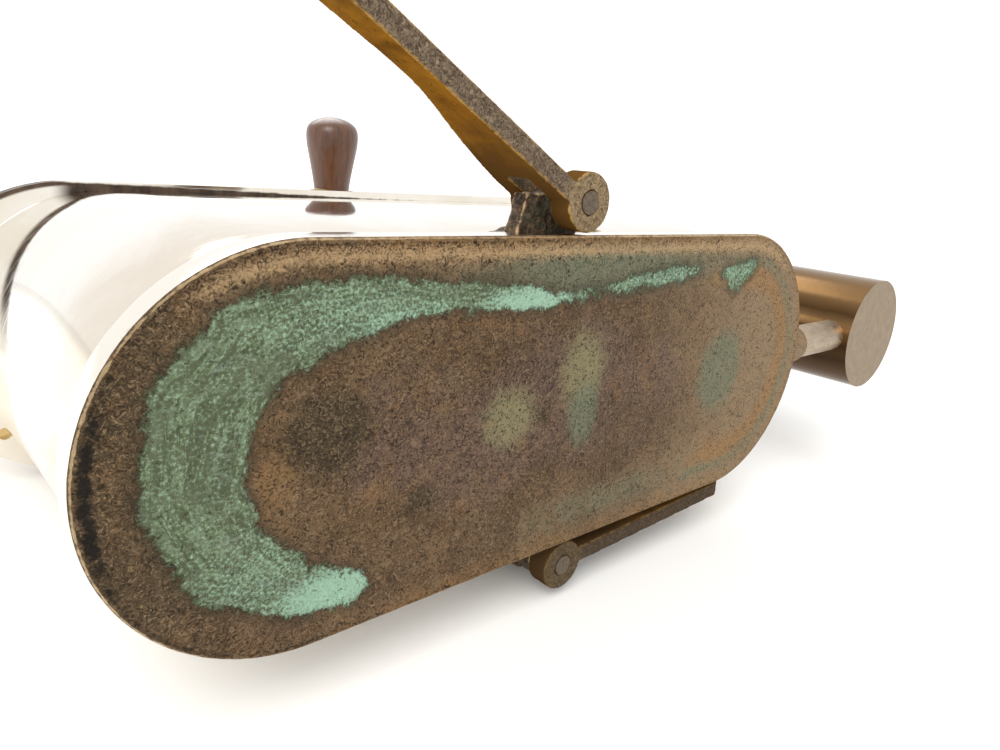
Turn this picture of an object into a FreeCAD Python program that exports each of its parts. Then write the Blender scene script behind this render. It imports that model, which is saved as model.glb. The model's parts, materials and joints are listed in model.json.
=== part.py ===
import FreeCAD, Part
import math
import os
import re

import Sketcher
from FreeCAD import Placement, Rotation, Vector

# A twin-barrel manual bilge pump. Millimetres, +Z up, origin at the centre of the base's underside.
# +X runs along the oblong base towards the suction pot, and the handle is on the -Y side.

DIMENSIONS = {
    # base casting and shell
    "base_width": 96,
    "base_length": 266.6,
    "base_height": 10.5,
    "bead_radius": 1.6,
    "shell_height": 123.9,
    "shell_wall": 2,
    "foot_inset": 3.2,
    "crown": 2.9,
    "flare": 2.2,
    # flange, gasket and cover
    "flange_width": 98,
    "flange_length": 293.4,
    "flange_height": 5,
    "gasket_height": 1,
    "cover_height": 6,
    "rim_width": 11.5,
    "screw_radius": 2,
    "screw_inset": 7.2,
    "gland_boss": 15,
    "gland_nut": 14,
    "gland_depth": 4,
    # barrels and pistons
    "barrel_spacing": 45,
    "bore_radius": 32,
    "barrel_wall": 4,
    "barrel_height": 84,
    "plate_height": 8,
    "plate_base": 18,
    "rod_radius": 7,
    "piston_height": 12,
    "piston_floor": 41,
    "running_gap": 0.06,
    "valve_radius": 19,
    "valve_height": 3,
    "stem_radius": 3,
    "thread_radius": 5,
    "nut_height": 7,
    # rocker and racks
    "pitch_radius": 40,
    "tooth_module": 2.5,
    "shaft_height": 198,
    "shaft_radius": 6,
    "stroke_angle": 50,
    "quadrant_width": 10,
    "hub_radius": 12,
    "bush_wall": 2.5,
    "fixing_reach": 19.5,
    # handle
    "handle_reach": 62.4,
    "handle_lean": 52.6,
    "handle_side": 42.5,
    "handle_thickness": 6,
    "knob_radius": 13.6,
    "knob_length": 37,
    "neck_radius": 9.4,
    "spindle_radius": 4,
    # foot levers
    "pivot_offset": 2.9,
    "pivot_side": 56.7,
    "eye_radius": 8.2,
    "pin_radius": 3.2,
    "eye_bottom": 1.2,
    "slot_bottom": 8.6,
    "slot_top": 17,
    "eye_top": 25,
    "slot_reach": 17.5,
    "arm_length": 91,
    "arm_thickness": 5.6,
    "arm_face": 3.9,
    "lever_open": 28.5,
    "lever_shut": -2.5,
    # suction pot and pipe
    "pot_centre": 208,
    "pot_radius": 26,
    "pot_height": 93,
    "pot_wall": 2.5,
    "pot_floor": 3,
    "seal_height": 1,
    "lid_height": 8,
    "pipe_height": 9.5,
    "pipe_radius": 7,
    "pipe_bore": 5,
    "pipe_start": 104,
    "boss_radius": 9.3,
    "boss_tip": 7.9,
    # hose spigots
    "spigot_bore": 10,
    "spigot_radius": 12.7,
    "spigot_length": 30,
    "spigot_flange": 21,
    "spigot_shoulder": 4,
    "spigot_plate": 4,
    "spout_centre": 104,
    "spout_bend": 22,
}

PRESSURE_ANGLE = 20
SCREW_SIDE_STEPS = (-2, -1, 0, 1, 2)
SCREW_END_ANGLES = (-50, 0, 50)
WORD = re.compile(r"\b(" + "|".join(DIMENSIONS) + r")\b")

doc = FreeCAD.newDocument("BilgePump")
sheet = doc.addObject("Spreadsheet::Sheet", "Dim")
for row, (alias, number) in enumerate(DIMENSIONS.items(), 1):
    sheet.set(f"A{row}", alias)
    sheet.set(f"B{row}", str(number))
    sheet.setAlias(f"B{row}", alias)
doc.recompute()

nodes = []
DIRECTIONS = {
    "+x": Vector(1, 0, 0),
    "-x": Vector(-1, 0, 0),
    "+y": Vector(0, 1, 0),
    "-y": Vector(0, -1, 0),
    "+z": Vector(0, 0, 1),
}
FLANGE_BASE = "(base_height + shell_height)"
COVER_BASE = f"({FLANGE_BASE} + flange_height + gasket_height)"
COVER_TOP = f"({COVER_BASE} + cover_height)"
POT_TOP = "(pot_height + seal_height + lid_height)"


def size(alias):
    """The number that the sheet holds under an alias."""
    return float(sheet.get(alias))


def bind(thing, setting, formula):
    """Ties a setting to a formula of the sheet's aliases."""
    thing.setExpression(setting, WORD.sub(r"Dim.\1", formula))


def node(thing, label):
    """Names a finished piece."""
    thing.Label = label
    nodes.append(thing)
    return thing


def place(thing, start, facing="+z"):
    """Puts a primitive at three formulas, with its own Z axis along the facing direction."""
    thing.Placement = Placement(Vector(), Rotation(Vector(0, 0, 1), DIRECTIONS[facing]))
    for letter, formula in zip("xyz", start):
        bind(thing, f".Placement.Base.{letter}", formula)
    return thing


def cylinder(radius, height, start, facing="+z"):
    """A cylinder from its start along the facing direction."""
    made = doc.addObject("Part::Cylinder", "Cylinder")
    bind(made, "Radius", radius)
    bind(made, "Height", height)
    return place(made, start, facing)


def cone(first, last, height, start, facing="+z"):
    """A cone with a first and a last radius."""
    made = doc.addObject("Part::Cone", "Cone")
    bind(made, "Radius1", first)
    bind(made, "Radius2", last)
    bind(made, "Height", height)
    return place(made, start, facing)


def box(length, width, height, start):
    """A box from its lowest corner."""
    made = doc.addObject("Part::Box", "Box")
    bind(made, "Length", length)
    bind(made, "Width", width)
    bind(made, "Height", height)
    return place(made, start)


def hexagon(radius, height, start):
    """A six-sided prism of a given corner radius."""
    made = doc.addObject("Part::Prism", "Hexagon")
    made.Polygon = 6
    bind(made, "Circumradius", radius)
    bind(made, "Height", height)
    return place(made, start)


def wedge(first, last, length):
    """A tapered block along Y between two (low x, high x, low z, high z) ends."""
    made = doc.addObject("Part::Wedge", "Wedge")
    made.Xmin, made.Xmax, made.Zmin, made.Zmax = first
    made.X2min, made.X2max, made.Z2min, made.Z2max = last
    made.Ymin = 0
    bind(made, "Ymax", length)
    return made


def fuse(*things):
    """Joins shapes into one."""
    made = doc.addObject("Part::MultiFuse", "Fuse")
    made.Shapes = list(things)
    made.Refine = True
    return made


def cut(base, *tools):
    """Takes the tools away from the base."""
    made = doc.addObject("Part::Cut", "Cut")
    made.Base = base
    made.Tool = tools[0] if len(tools) == 1 else fuse(*tools)
    made.Refine = True
    return made


def group(things):
    """Holds equal solids together without joining them."""
    made = doc.addObject("Part::Compound", "Group")
    made.Links = list(things)
    return made


def tube(outer, inner, height, start, facing="+z"):
    """A straight tube: a cylinder with a bore along its axis."""
    return cut(cylinder(outer, height, start, facing), cylinder(inner, height, start, facing))


def plane_of(body, role):
    """One of a body's own origin planes."""
    return next(f for f in body.Origin.OriginFeatures if f.Role == role)


def sketch_in(body, role, lift):
    """An empty sketch on an origin plane of a body, lifted by a formula."""
    made = body.newObject("Sketcher::SketchObject", "Sketch")
    made.AttachmentSupport = (plane_of(body, role), [""])
    made.MapMode = "FlatFace"
    bind(made, "AttachmentOffset.Base.z", lift)
    return made


def add_stadium(sketch, half_width, half_length):
    """Draws an oblong with round ends, symmetric about the sketch's origin."""
    first = sketch.GeometryCount
    radius = 40 + first
    reach = 60
    quarter = math.pi / 2
    up = Vector(0, 0, 1)
    right = Part.Circle(Vector(reach, 0, 0), up, radius)
    left = Part.Circle(Vector(-reach, 0, 0), up, radius)
    top, right_arc, bottom, left_arc = range(first, first + 4)
    sketch.addGeometry(Part.LineSegment(Vector(-reach, radius, 0), Vector(reach, radius, 0)))
    sketch.addGeometry(Part.ArcOfCircle(right, -quarter, quarter))
    sketch.addGeometry(Part.LineSegment(Vector(reach, -radius, 0), Vector(-reach, -radius, 0)))
    sketch.addGeometry(Part.ArcOfCircle(left, quarter, 3 * quarter))
    add = sketch.addConstraint
    add(Sketcher.Constraint("Tangent", top, 2, right_arc, 2))
    add(Sketcher.Constraint("Tangent", right_arc, 1, bottom, 1))
    add(Sketcher.Constraint("Tangent", bottom, 2, left_arc, 2))
    add(Sketcher.Constraint("Tangent", left_arc, 1, top, 1))
    add(Sketcher.Constraint("Equal", left_arc, right_arc))
    add(Sketcher.Constraint("PointOnObject", right_arc, 3, -1))
    add(Sketcher.Constraint("Symmetric", left_arc, 3, right_arc, 3, -1, 1))
    radius_rule = add(Sketcher.Constraint("Radius", right_arc, radius))
    reach_rule = add(Sketcher.Constraint("DistanceX", -1, 1, right_arc, 3, reach))
    bind(sketch, f"Constraints[{radius_rule}]", half_width)
    bind(sketch, f"Constraints[{reach_rule}]", f"({half_length}) - ({half_width})")


def stadium_pad(height, lift, *outlines):
    """A PartDesign body: an oblong plate, or a ring where it has two outlines."""
    body = doc.addObject("PartDesign::Body", "Body")
    sketch = sketch_in(body, "XY_Plane", lift)
    for half_width, half_length in outlines:
        add_stadium(sketch, half_width, half_length)
    pad = body.newObject("PartDesign::Pad", "Pad")
    pad.Profile = sketch
    bind(pad, "Length", height)
    return body


def stadium_loft(sections):
    """A PartDesign body lofted through oblong sections, each (lift, half width, half length)."""
    body = doc.addObject("PartDesign::Body", "Body")
    sketches = []
    for lift, half_width, half_length in sections:
        sketch = sketch_in(body, "XY_Plane", lift)
        add_stadium(sketch, half_width, half_length)
        sketches.append(sketch)
    doc.recompute()
    loft = body.newObject("PartDesign::AdditiveLoft", "Loft")
    loft.Profile = sketches[0]
    loft.Sections = sketches[1:]
    return body


def round_faces(body, radius, faces):
    """Fillets every edge round the named faces of a PartDesign body."""
    doc.recompute()
    last = body.Tip
    made = body.newObject("PartDesign::Fillet", "Fillet")
    made.Base = (last, faces)
    bind(made, "Radius", radius)


def group_at(things, placement):
    """A group carried to a placement."""
    made = group(things)
    made.Placement = placement
    return made


def screw_places():
    """Centres of the cover's screws, on the oblong line that runs inside the flange's edge."""
    side = size("flange_width") / 2 - size("screw_inset")
    reach = (size("flange_length") - size("flange_width")) / 2
    places = []
    for sign in (-1, 1):
        for step in SCREW_SIDE_STEPS:
            places.append((step * reach / 2, sign * side))
        for angle in SCREW_END_ANGLES:
            turn = math.radians(angle)
            places.append((sign * (reach + side * math.cos(turn)), side * math.sin(turn)))
    return places


def screw_holes(radius, height, lift):
    """One cylinder for each of the cover's screws."""
    return [cylinder(radius, height, (f"{x:.4f}", f"{y:.4f}", lift)) for x, y in screw_places()]


def cheese_head_screw(x, y, seat, shank, radius="screw_radius"):
    """A slotted screw whose head rests at the seat's height."""
    head = cylinder(f"{radius} * 1.9", f"{radius} * 1.3", (x, y, seat))
    stem = cylinder(radius, shank, (x, y, f"{seat} - ({shank})"))
    slot = box(f"{radius} * 5", f"{radius} * 0.45", f"{radius}",
               (f"{x} - {radius} * 2.5", f"{y} - {radius} * 0.22", f"{seat} + {radius} * 0.8"))
    return cut(fuse(head, stem), slot)


def flange_places():
    """Offsets of the four screws round a hose spigot's flange."""
    reach = size("spigot_flange") - 4.1
    turns = [math.radians(45 + 90 * step) for step in range(4)]
    return [(reach * math.cos(turn), reach * math.sin(turn)) for turn in turns]


def flange_holes(centre, lift):
    """Holes for the screws of a hose spigot's flange."""
    places = [(f"{centre} + {x:.4f}", f"{y:.4f}", lift) for x, y in flange_places()]
    return [cylinder("screw_radius + 0.1", "20", place_) for place_ in places]


def flange_screws(centre, seat):
    """The four screws of a hose spigot's flange."""
    places = [(f"{centre} + {x:.4f}", f"{y:.4f}") for x, y in flange_places()]
    return group([cheese_head_screw(x, y, seat, "7") for x, y in places])


# ---------------------------------------------------------------- base, shell, flange and cover

def make_base():
    """The oblong base with a bead round its edge, a rim inside the shell and a boss for the pipe."""
    plate = stadium_pad("base_height", "0", ("base_width / 2", "base_length / 2"))
    round_faces(plate, "bead_radius", ["Face5", "Face6"])
    inner_width = "base_width / 2 - foot_inset - shell_wall - 0.1"
    inner_length = "base_length / 2 - foot_inset - shell_wall - 0.1"
    rim = stadium_pad("6", "base_height - 0.5", (inner_width, inner_length),
                      (f"{inner_width} - 3", f"{inner_length} - 3"))
    boss = cone("boss_radius", "boss_tip", "22", ("base_length / 2 - 9", "0", "pipe_height"), "+x")
    bore = cylinder("pipe_radius", "60", ("pipe_start", "0", "pipe_height"), "+x")
    sump = cylinder("pipe_bore", "12", ("pipe_start - 10", "0", "pipe_height"), "+x")
    node(cut(fuse(plate, rim, boss), bore, sump), "base_casting")


def shell_sections(inset):
    """Sections of the shell's wall, drawn in by an inset: waisted at its ends, crowned on its sides."""
    top_width = f"base_width / 2 - foot_inset + 1.4 - {inset}"
    foot_width = f"base_width / 2 - foot_inset - {inset}"
    foot_length = f"base_length / 2 - foot_inset - {inset}"
    return [
        ("base_height", foot_width, foot_length),
        ("base_height + shell_height * 0.33", f"{foot_width} + crown", f"{foot_length} + 0.2"),
        ("base_height + shell_height * 0.7", f"{foot_width} + crown * 1.05",
         f"{foot_length} + flare * 0.7"),
        (FLANGE_BASE, top_width, f"{foot_length} + flare * 2.4"),
    ]


def make_shell():
    """The thin wall between base and flange, notched for the pipe's boss. Returns its outer body."""
    outer = stadium_loft(shell_sections("0"))
    inner = stadium_loft(shell_sections("shell_wall"))
    notch = cylinder("boss_radius + 0.1", "40", ("base_length / 2 - 20", "0", "pipe_height"), "+x")
    node(cut(outer, inner, notch), "body_shell")
    return outer


def make_flange():
    """The ring on the shell's top edge, its gasket and the cover, with one line of screw holes."""
    outline = ("flange_width / 2", "flange_length / 2")
    hollow = ("flange_width / 2 - rim_width", "flange_length / 2 - rim_width - 8")
    ring = stadium_pad("flange_height", FLANGE_BASE, outline, hollow)
    node(cut(ring, *screw_holes("screw_radius", "8", f"{FLANGE_BASE} - 1")), "shell_flange")
    seal = stadium_pad("gasket_height", f"{FLANGE_BASE} + flange_height",
                       (f"{outline[0]} - 0.6", f"{outline[1]} - 0.6"), hollow)
    node(cut(seal, *screw_holes("screw_radius + 0.2", "4", f"{COVER_BASE} - 2")), "cover_gasket")
    plate = stadium_pad("cover_height", COVER_BASE, (f"{outline[0]} - 0.4", f"{outline[1]} - 0.4"))
    round_faces(plate, "2", ["Face6"])
    bosses = []
    tools = screw_holes("screw_radius + 0.2", "10", f"{COVER_BASE} - 1")
    for side in ("-barrel_spacing", "barrel_spacing"):
        bosses.append(cylinder("gland_boss", "cover_height + 3", (side, "0", COVER_BASE)))
        tools.append(cylinder("rod_radius + running_gap", "20", (side, "0", f"{COVER_BASE} - 2")))
        tools.append(cylinder("rod_radius + gland_depth", "9", (side, "0", f"{COVER_BASE} + 2.5")))
    tools.append(cylinder("spigot_bore", "12", ("-spout_centre", "0", f"{COVER_BASE} - 1")))
    tools += flange_holes("-spout_centre", f"{COVER_TOP} - 8")
    node(cut(fuse(plate, *bosses), *tools), "top_cover")
    screws = [cheese_head_screw(f"{x:.4f}", f"{y:.4f}", COVER_TOP, "10") for x, y in screw_places()]
    node(group(screws), "cover_screws")


# ---------------------------------------------------------------- barrels, valves and pistons

def make_barrel(side, sign):
    """A barrel standing on the valve plate, with its foot valve."""
    centre = f"{sign} barrel_spacing"
    floor = "plate_base + plate_height"
    wall = tube("bore_radius + barrel_wall", "bore_radius", "barrel_height", (centre, "0", floor))
    node(wall, f"{side}_barrel")
    disc = cylinder("valve_radius", "valve_height", (centre, "0", floor))
    stem = cylinder("stem_radius", "12", (centre, "0", f"{floor} - 9.5"))
    node(fuse(disc, stem), f"{side}_foot_valve")


def make_valve_plate():
    """The plate under both barrels, with ports round a guide for each foot valve, and its low wall."""
    plate = stadium_pad("plate_height", "plate_base", ("bore_radius + 7", "116"))
    tools = []
    for sign in ("-", ""):
        centre = f"{sign} barrel_spacing"
        tools.append(cylinder("stem_radius + running_gap", "12", (centre, "0", "plate_base - 2")))
        for step in range(6):
            turn = math.radians(60 * step)
            spot = (f"{centre} + {11 * math.cos(turn):.4f}", f"{11 * math.sin(turn):.4f}", "plate_base - 1")
            tools.append(cylinder("4.2", "12", spot))
    node(cut(plate, *tools), "valve_plate")
    wall = stadium_pad("plate_base - base_height", "base_height", ("bore_radius + 6", "115"),
                       ("bore_radius + 2", "111"))
    notch = cylinder("pipe_radius", "30", ("pipe_start", "0", "pipe_height"), "+x")
    node(cut(wall, notch), "valve_chest")


def bent_pipe(radius, column, foot, bend, height, end):
    """A round bar that rises from a foot, turns a quarter bend and runs level towards -X to an end."""
    middle = f"({column} - {bend})"
    rise = cylinder(radius, f"{height} - {bend} - ({foot})", (column, "0", foot))
    corner = doc.addObject("Part::Torus", "Bend")
    bind(corner, "Radius1", bend)
    bind(corner, "Radius2", radius)
    corner.Angle3 = 90
    corner.Placement = Placement(Vector(), Rotation(Vector(1, 0, 0), 90))
    bind(corner, ".Placement.Base.x", middle)
    bind(corner, ".Placement.Base.z", f"{height} - {bend}")
    level = cylinder(radius, f"{middle} - ({end})", (middle, "0", height), "-x")
    return fuse(rise, corner, level)


def make_piston(side, sign, lift):
    """A piston with its cup leather, clamp nut, valve and rod, all lifted by a formula."""
    centre = f"{sign} barrel_spacing"
    floor = f"piston_floor + {lift}"
    top = f"{floor} + piston_height"
    body = cylinder("bore_radius - 1.5", "piston_height", (centre, "0", floor))
    groove = tube("bore_radius + 1", "bore_radius - 4", "piston_height - 5", (centre, "0", f"{floor} + 3"))
    ports = []
    for step in range(6):
        turn = math.radians(60 * step + 30)
        spot = (f"{centre} + {13.5 * math.cos(turn):.4f}", f"{13.5 * math.sin(turn):.4f}", f"{floor} - 1")
        ports.append(cylinder("3.8", "piston_height + 2", spot))
    ports.append(cylinder("thread_radius", "piston_height + 2", (centre, "0", f"{floor} - 1")))
    node(cut(body, groove, *ports), f"{side}_piston")
    leather = tube("bore_radius - running_gap", "bore_radius - 3.9", "piston_height - 5.4",
                   (centre, "0", f"{floor} + 3.2"))
    node(leather, f"{side}_cup_leather")
    nut = hexagon("9", "nut_height", (centre, "0", f"{floor} - nut_height"))
    nut_bore = cylinder("thread_radius", "nut_height + 2", (centre, "0", f"{floor} - nut_height - 1"))
    node(cut(nut, nut_bore), f"{side}_piston_nut")
    disc = tube("valve_radius", "rod_radius + running_gap", "valve_height", (centre, "0", top))
    node(disc, f"{side}_piston_valve")


def rack_tool(sign, lift):
    """The gaps between the rack's teeth: straight flanks at the pressure angle about the pitch line."""
    pitch = math.pi * size("tooth_module")
    slope = math.tan(math.radians(PRESSURE_ANGLE))
    depth = 2.65
    mouth = 4
    half = pitch / 4 + 0.1
    line = size("pitch_radius")
    mesh = size("shaft_height") - math.radians(size("stroke_angle")) * line / 2
    gaps = []
    for step in range(-3, 4):
        centre = mesh + step * pitch
        corners = [
            Vector(line - mouth, 0, centre - half - mouth * slope),
            Vector(line + depth, 0, centre - half + depth * slope),
            Vector(line + depth, 0, centre + half - depth * slope),
            Vector(line - mouth, 0, centre + half + mouth * slope),
        ]
        outline = Part.makePolygon(corners + corners[:1])
        gaps.append(Part.Face(outline).extrude(Vector(0, 30, 0)))
    made = doc.addObject("Part::Feature", "RackGaps")
    shape = Part.makeCompound(gaps)
    shape.translate(Vector(0, -15, 0))
    if sign == "-":
        shape.rotate(Vector(), Vector(0, 0, 1), 180)
    made.Shape = shape
    bind(made, ".Placement.Base.z", lift)
    return made


def make_rod(side, sign, lift):
    """A round rod from the piston up through the cover, with rack teeth on the side of the rocker."""
    centre = f"{sign} barrel_spacing"
    floor = f"piston_floor + {lift}"
    thread = cylinder("thread_radius", "piston_height + nut_height", (centre, "0", f"{floor} - nut_height"))
    stem = cylinder("rod_radius", "shaft_height + 16 - piston_height - piston_floor",
                    (centre, "0", f"{floor} + piston_height"))
    node(cut(fuse(thread, stem), rack_tool(sign, lift)), f"{side}_piston_rod")


def make_gland(side, sign):
    """The packing in the cover's stuffing box and the nut that squeezes it."""
    centre = f"{sign} barrel_spacing"
    packing = tube("rod_radius + 4", "rod_radius + running_gap", "4", (centre, "0", f"{COVER_BASE} + 2.5"))
    node(packing, f"{side}_gland_packing")
    collar = cylinder("rod_radius + 3.9", "3", (centre, "0", f"{COVER_BASE} + 6.5"))
    head = hexagon("gland_nut", "4.5", (centre, "0", f"{COVER_TOP} + 3"))
    bore = cylinder("rod_radius + running_gap", "12", (centre, "0", f"{COVER_BASE} + 5"))
    node(cut(fuse(collar, head), bore), f"{side}_gland_nut")


# ---------------------------------------------------------------- rocker and handle

def make_quadrant():
    """The double quadrant: involute teeth on both sides of a webbed hub, at the start of its stroke."""
    module = size("tooth_module")
    pitch = size("pitch_radius")
    count = round(2 * pitch / module)
    pressure = math.radians(PRESSURE_ANGLE)
    base_circle = pitch * math.cos(pressure)
    tip = pitch + 0.88 * module
    root = pitch - 1.2 * module
    half_tooth = (math.pi * module / 2 - 0.2) / (2 * pitch)

    def flank_angle(radius):
        roll = math.acos(base_circle / radius)
        gain = math.tan(pressure) - pressure
        return half_tooth + gain - (math.tan(roll) - roll)

    def spot(radius, angle):
        return Vector(radius * math.cos(angle), 0, radius * math.sin(angle))

    def sector(middle):
        flank = [base_circle + (tip - base_circle) * step / 4 for step in range(5)]
        points = [spot(12, middle - math.radians(40))]
        for tooth in range(-3, 4):
            centre = middle + tooth * 2 * math.pi / count
            points.append(spot(root, centre - flank_angle(base_circle) - 0.004))
            points += [spot(radius, centre - flank_angle(radius)) for radius in flank]
            points += [spot(radius, centre + flank_angle(radius)) for radius in reversed(flank)]
            points.append(spot(root, centre + flank_angle(base_circle) + 0.004))
        points.append(spot(12, middle + math.radians(40)))
        outline = Part.makePolygon(points + points[:1])
        return Part.Face(outline).extrude(Vector(0, size("quadrant_width"), 0))

    forward = Vector(0, 1, 0)
    hub = Part.makeCylinder(15, size("quadrant_width") + 8, Vector(0, -4, 0), forward)
    solid = hub.fuse([sector(0), sector(math.pi)])
    for sign in (-1, 1):
        for angle in (-17, 17):
            window = Part.makeCylinder(5, 40, Vector(), forward)
            window.translate(spot(26, math.radians(angle)) * sign + Vector(0, -10, 0))
            solid = solid.cut(window)
    solid = solid.cut(Part.makeCylinder(size("shaft_radius"), 60, Vector(0, -20, 0), forward))
    made = doc.addObject("Part::Feature", "Quadrant")
    made.Shape = solid.removeSplitter()
    made.Placement = Placement(
        Vector(0, -size("quadrant_width") / 2, size("shaft_height")),
        Rotation(forward, size("stroke_angle") / 2),
    )
    node(made, "rocker_quadrant")


def make_pedestal(side, sign):
    """A bearing pedestal on the cover, its bush and its two screws."""
    near = f"{sign} 25"
    start = f"{near} - 5"
    foot = box("46", "16", "5", ("-23", f"{near} - 8", COVER_TOP))
    web = wedge((-15, 15, 0, 8), (-9, 9, 0, 8), f"shaft_height - {COVER_TOP}")
    web.Placement = Placement(Vector(), Rotation(Vector(1, 0, 0), 90))
    bind(web, ".Placement.Base.y", f"{near} + 4")
    bind(web, ".Placement.Base.z", COVER_TOP)
    eye = cylinder("hub_radius", "10", ("0", start, "shaft_height"), "+y")
    bore = cylinder("shaft_radius + bush_wall", "20", ("0", f"{near} - 10", "shaft_height"), "+y")
    window = cylinder("6", "20", ("0", f"{near} - 10", f"{COVER_TOP} + 17"), "+y")
    holes = [cylinder("2.2", "9", (x, near, f"{COVER_TOP} - 1")) for x in ("-fixing_reach", "fixing_reach")]
    node(cut(fuse(foot, web, eye), bore, window, *holes), f"{side}_pedestal")
    bush = tube("shaft_radius + bush_wall", "shaft_radius + running_gap", "12",
                ("0", f"{near} - 6", "shaft_height"), "+y")
    node(bush, f"{side}_bush")
    return [cheese_head_screw(x, near, f"{COVER_TOP} + 5", "4.8") for x in ("-fixing_reach", "fixing_reach")]


def make_handle():
    """The rocker shaft, the handle arm with its hub and eye, and the knob on its spindle."""
    shaft = cylinder("shaft_radius", "handle_side + 40.4",
                     ("0", "-handle_side - 2.4", "shaft_height"), "+y")
    node(shaft, "rocker_shaft")
    collar = tube("10", "shaft_radius", "5", ("0", "31.4", "shaft_height"), "+y")
    node(collar, "shaft_collar")

    def turned(thing):
        """Swings a piece built straight up about the shaft to the handle's lean."""
        lean = Rotation(Vector(0, 1, 0), size("handle_lean"))
        thing.Placement = Placement(Vector(0, 0, size("shaft_height")), lean)
        return thing

    inner = "-(handle_side - handle_thickness)"
    outer = "-handle_side"
    hub = cylinder("hub_radius", "handle_thickness + 4", ("0", outer, "0"), "+y")
    eye = cylinder("8.5", "handle_thickness", ("0", outer, "handle_reach"), "+y")
    arm = wedge((-9, 9, 0.75, 5.25), (-5.5, 5.5, 0.75, 5.25), "handle_reach")
    arm.Placement = Placement(Vector(), Rotation(Vector(1, 0, 0), 90))
    bind(arm, ".Placement.Base.y", inner)
    shaft_hole = cylinder("shaft_radius", "30", ("0", f"{outer} - 5", "0"), "+y")
    pin_hole = cylinder("spindle_radius", "30", ("0", f"{outer} - 5", "handle_reach"), "+y")
    node(turned(cut(fuse(hub, eye, arm), shaft_hole, pin_hole)), "handle_arm")
    nut = tube("9", "shaft_radius", "2.4", ("0", f"{outer} - 2.4", "0"), "+y")
    node(turned(nut), "handle_nut")

    reach = "handle_reach"
    spindle = fuse(
        cylinder("spindle_radius", "knob_length + handle_thickness - 4",
                 ("0", f"{inner} + 3", reach), "-y"),
        cylinder("spindle_radius + 2.5", "3", ("0", f"{inner} + 3", reach), "-y"),
    )
    node(turned(spindle), "knob_spindle")
    washer = tube("neck_radius", "spindle_radius", "1.2", ("0", outer, reach), "-y")
    node(turned(washer), "knob_washer")
    node(turned(make_knob()), "wooden_knob")


def make_knob():
    """A turned bulb that narrows to its neck, revolved about the spindle's axis and bored for it."""
    body = doc.addObject("PartDesign::Body", "Knob")
    sketch = sketch_in(body, "YZ_Plane", "0")
    length = size("knob_length")
    radius = size("knob_radius")
    neck = size("neck_radius")
    start = -size("handle_side") - 1.4
    end = start - length
    reach = size("handle_reach")
    shape = ((0, neck), (0.22, radius * 0.78), (0.45, radius * 0.9), (0.7, radius), (0.86, radius * 0.93))
    profile = [Vector(start - length * share, reach + width) for share, width in shape]
    curve = Part.BSplineCurve()
    curve.interpolate(profile + [Vector(end + 0.9, reach + radius * 0.45), Vector(end, reach)])
    sketch.addGeometry(curve)
    sketch.addGeometry(Part.LineSegment(Vector(end, reach), Vector(start, reach)))
    sketch.addGeometry(Part.LineSegment(Vector(start, reach), profile[0]))
    turn = body.newObject("PartDesign::Revolution", "Revolution")
    turn.Profile = sketch
    turn.ReferenceAxis = (sketch, ["Edge2"])
    turn.Angle = 360
    bore = cylinder("spindle_radius + running_gap", "knob_length - 6",
                    ("0", "-handle_side - 1", "handle_reach"), "-y")
    return cut(body, bore)


# ---------------------------------------------------------------- foot levers

def lever_arm():
    """The arm's plate: straight lower edge, upper edge swept in from the wide root to the round tip."""
    body = doc.addObject("PartDesign::Body", "Arm")
    sketch = sketch_in(body, "XZ_Plane", "0")
    low = size("eye_bottom")
    high = size("eye_top")
    length = size("arm_length")
    tip = 5.6
    centre = Vector(-length + tip, low + tip)
    start = Vector(0, high)
    root = Vector(0, low)
    shoulder = Vector(-12, high - 0.3)
    sweep = [
        Vector(-26.6, low + 20.3),
        Vector(-44, low + 14.5),
        Vector(-58, low + 10.1),
        Vector(-70, low + 10),
    ]
    round_top = centre + Vector(0, tip)
    round_end = centre + Vector(-tip, 0)
    round_low = centre + Vector(0, -tip)
    for first, last in ((start, shoulder), (round_low, root), (root, start)):
        sketch.addGeometry(Part.LineSegment(first, last))
    curve = Part.BSplineCurve()
    curve.interpolate([shoulder] + sweep + [round_top])
    sketch.addGeometry(curve)
    sketch.addGeometry(Part.Arc(round_top, round_end, round_low))
    pad = body.newObject("PartDesign::Pad", "Pad")
    pad.Profile = sketch
    bind(pad, "Length", "arm_thickness")
    pad.Reversed = True
    body.Placement = Placement(Vector(0, size("arm_face") - size("arm_thickness"), 0), Rotation())
    return body


def make_lever(side, half_turn, opening):
    """A foot lever with two eyes, forked for the knuckle and the catch lug."""
    eyes = cylinder("eye_radius", "eye_top - eye_bottom", ("0", "0", "eye_bottom"))
    slot = box("slot_reach + eye_radius + 1", "eye_radius * 2 + 2", "slot_top - slot_bottom",
               ("-slot_reach", "-eye_radius - 1", "slot_bottom"))
    bore = cylinder("pin_radius + running_gap", "eye_top + 2", ("0", "0", "0"))
    lever = cut(fuse(lever_arm(), eyes), slot, bore)
    lever.Placement = lever_place(half_turn, opening)
    node(lever, f"{side}_foot_lever")


def lever_place(half_turn, opening):
    """Where a lever's pivot stands, and how far the lever is turned."""
    pivot = Vector(-size("pivot_offset"), -size("pivot_side"), 0)
    about = Rotation(Vector(0, 0, 1), half_turn)
    return Placement(about.multVec(pivot), Rotation(Vector(0, 0, 1), half_turn + opening))


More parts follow.
